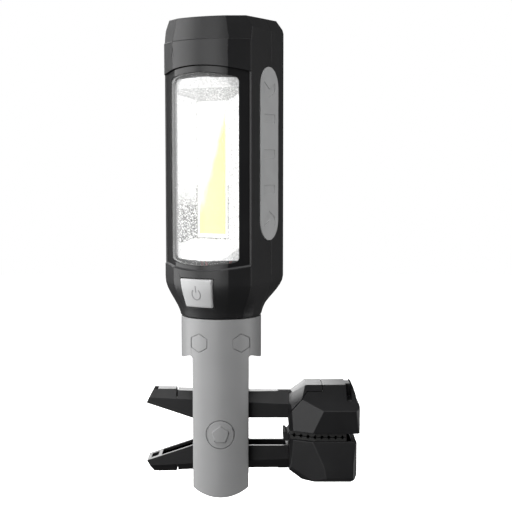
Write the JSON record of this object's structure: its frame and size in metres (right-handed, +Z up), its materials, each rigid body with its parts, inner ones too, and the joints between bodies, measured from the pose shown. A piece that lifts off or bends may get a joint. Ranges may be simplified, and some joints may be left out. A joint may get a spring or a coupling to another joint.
{
  "type": "clamp work light",
  "caption": "Battery LED work light: a faceted lamp head with a tall window on a swivelling collar, held by a tilting fork over a sprung hand clamp.",
  "frame": {"origin": "middle of the lower jaw pad's gripping face", "axes": "+Z up along the lamp's swivel axis at rest, +X from the clamp pivot towards the jaws, +Y away from the side with the button"},
  "size_m": [0.0943, 0.0521, 0.21],
  "materials": {
    "case_black": "satin moulded",
    "bezel_black": "smooth satin",
    "clear_lens": "clear polished",
    "seal_rubber": "matt",
    "reflector_chrome": "pebbled bright plating",
    "led_board": "white solder mask",
    "led_phosphor": "phosphor coat, lit",
    "sink_aluminium": "plain extruded",
    "grip_grey": "soft matt",
    "button_grey": "satin",
    "switch_plastic": "matt",
    "circuit_board": "solder mask",
    "cell_jacket": "plain printed sleeve",
    "inner_plastic": "plain moulded",
    "spring_steel": "bright wire",
    "screw_steel": "zinc plated",
    "axle_steel": "ground",
    "wire_cover": "smooth",
    "yoke_grey": "satin moulded",
    "clamp_black": "satin moulded",
    "pad_rubber": "matt"
  },
  "bodies": {
    "lower_jaw": {"lower_arm": "clamp_black", "lower_jaw_cover": "clamp_black", "lower_jaw_pad": "pad_rubber", "lower_jaw_screws": "screw_steel"},
    "upper_jaw": {"upper_arm": "clamp_black", "upper_jaw_cover": "clamp_black", "upper_jaw_pad": "pad_rubber", "upper_jaw_screws": "screw_steel"},
    "spring_core": {"spring_sleeve": "inner_plastic", "torsion_spring": "spring_steel"},
    "yoke": {"yoke_front_shell": "yoke_grey", "yoke_rear_shell": "yoke_grey", "yoke_screws": "screw_steel", "pivot_axle": "axle_steel", "pivot_cap_front": "yoke_grey", "pivot_cap_rear": "yoke_grey", "pivot_washers": "inner_plastic", "friction_ring": "spring_steel"},
    "head": {"head_front_shell": "case_black", "head_rear_shell": "case_black", "bezel": "bezel_black", "lens": "clear_lens", "lens_seal": "seal_rubber", "reflector": "reflector_chrome", "cob_board": "led_board", "cob_phosphor": "led_phosphor", "heat_sink": "sink_aluminium", "grip_right": "grip_grey", "grip_left": "grip_grey", "button_mat": "seal_rubber", "switch_body": "switch_plastic", "switch_board": "circuit_board", "battery_1": "cell_jacket", "battery_2": "cell_jacket", "battery_3": "cell_jacket", "battery_tray": "inner_plastic", "contact_springs": "spring_steel", "head_wires": "wire_cover", "case_screws": "screw_steel", "swivel_boss": "inner_plastic", "swivel_screw": "screw_steel"},
    "button": {"power_button": "button_grey"},
    "door": {"battery_door": "case_black", "door_screw": "screw_steel"}
  },
  "joints": [
    {"name": "jaw_open", "type": "hinge", "parent": "lower_jaw", "child": "upper_jaw", "pos_m": [-0.043, 0, 0.00145], "axis": [0, -1, 0], "range_deg": [0, 34], "stiffness_Nm_per_rad": 0.7, "springref_deg": -63.03, "deforming": ["torsion_spring"]},
    {"name": "core_turn", "type": "hinge", "parent": "lower_jaw", "child": "spring_core", "pos_m": [-0.043, 0, 0.00145], "axis": [0, -1, 0], "range_deg": [0, 17]},
    {"name": "yoke_tilt", "type": "hinge", "parent": "spring_core", "child": "yoke", "pos_m": [-0.043, 0, 0.00145], "axis": [0, -1, 0], "range_deg": [-6, 186]},
    {"name": "head_swivel", "type": "hinge", "parent": "yoke", "child": "head", "pos_m": [-0.043, 0, 0.05], "axis": [0, 0, 1], "continuous": true},
    {"name": "button_press", "type": "slide", "parent": "head", "child": "button", "axis": [0.4384, 0.8988, 0], "range_m": [0, 0.0009], "stiffness_N_per_m": 1500, "springref_m": -0.0005},
    {"name": "door_lift", "type": "slide", "parent": "head", "child": "door", "axis": [0.4384, 0.8988, 0], "range_m": [0, 0.012]}
  ],
  "couplings": [
    {"joint": "jaw_open", "follows": "core_turn", "ratio": 2}
  ]
}
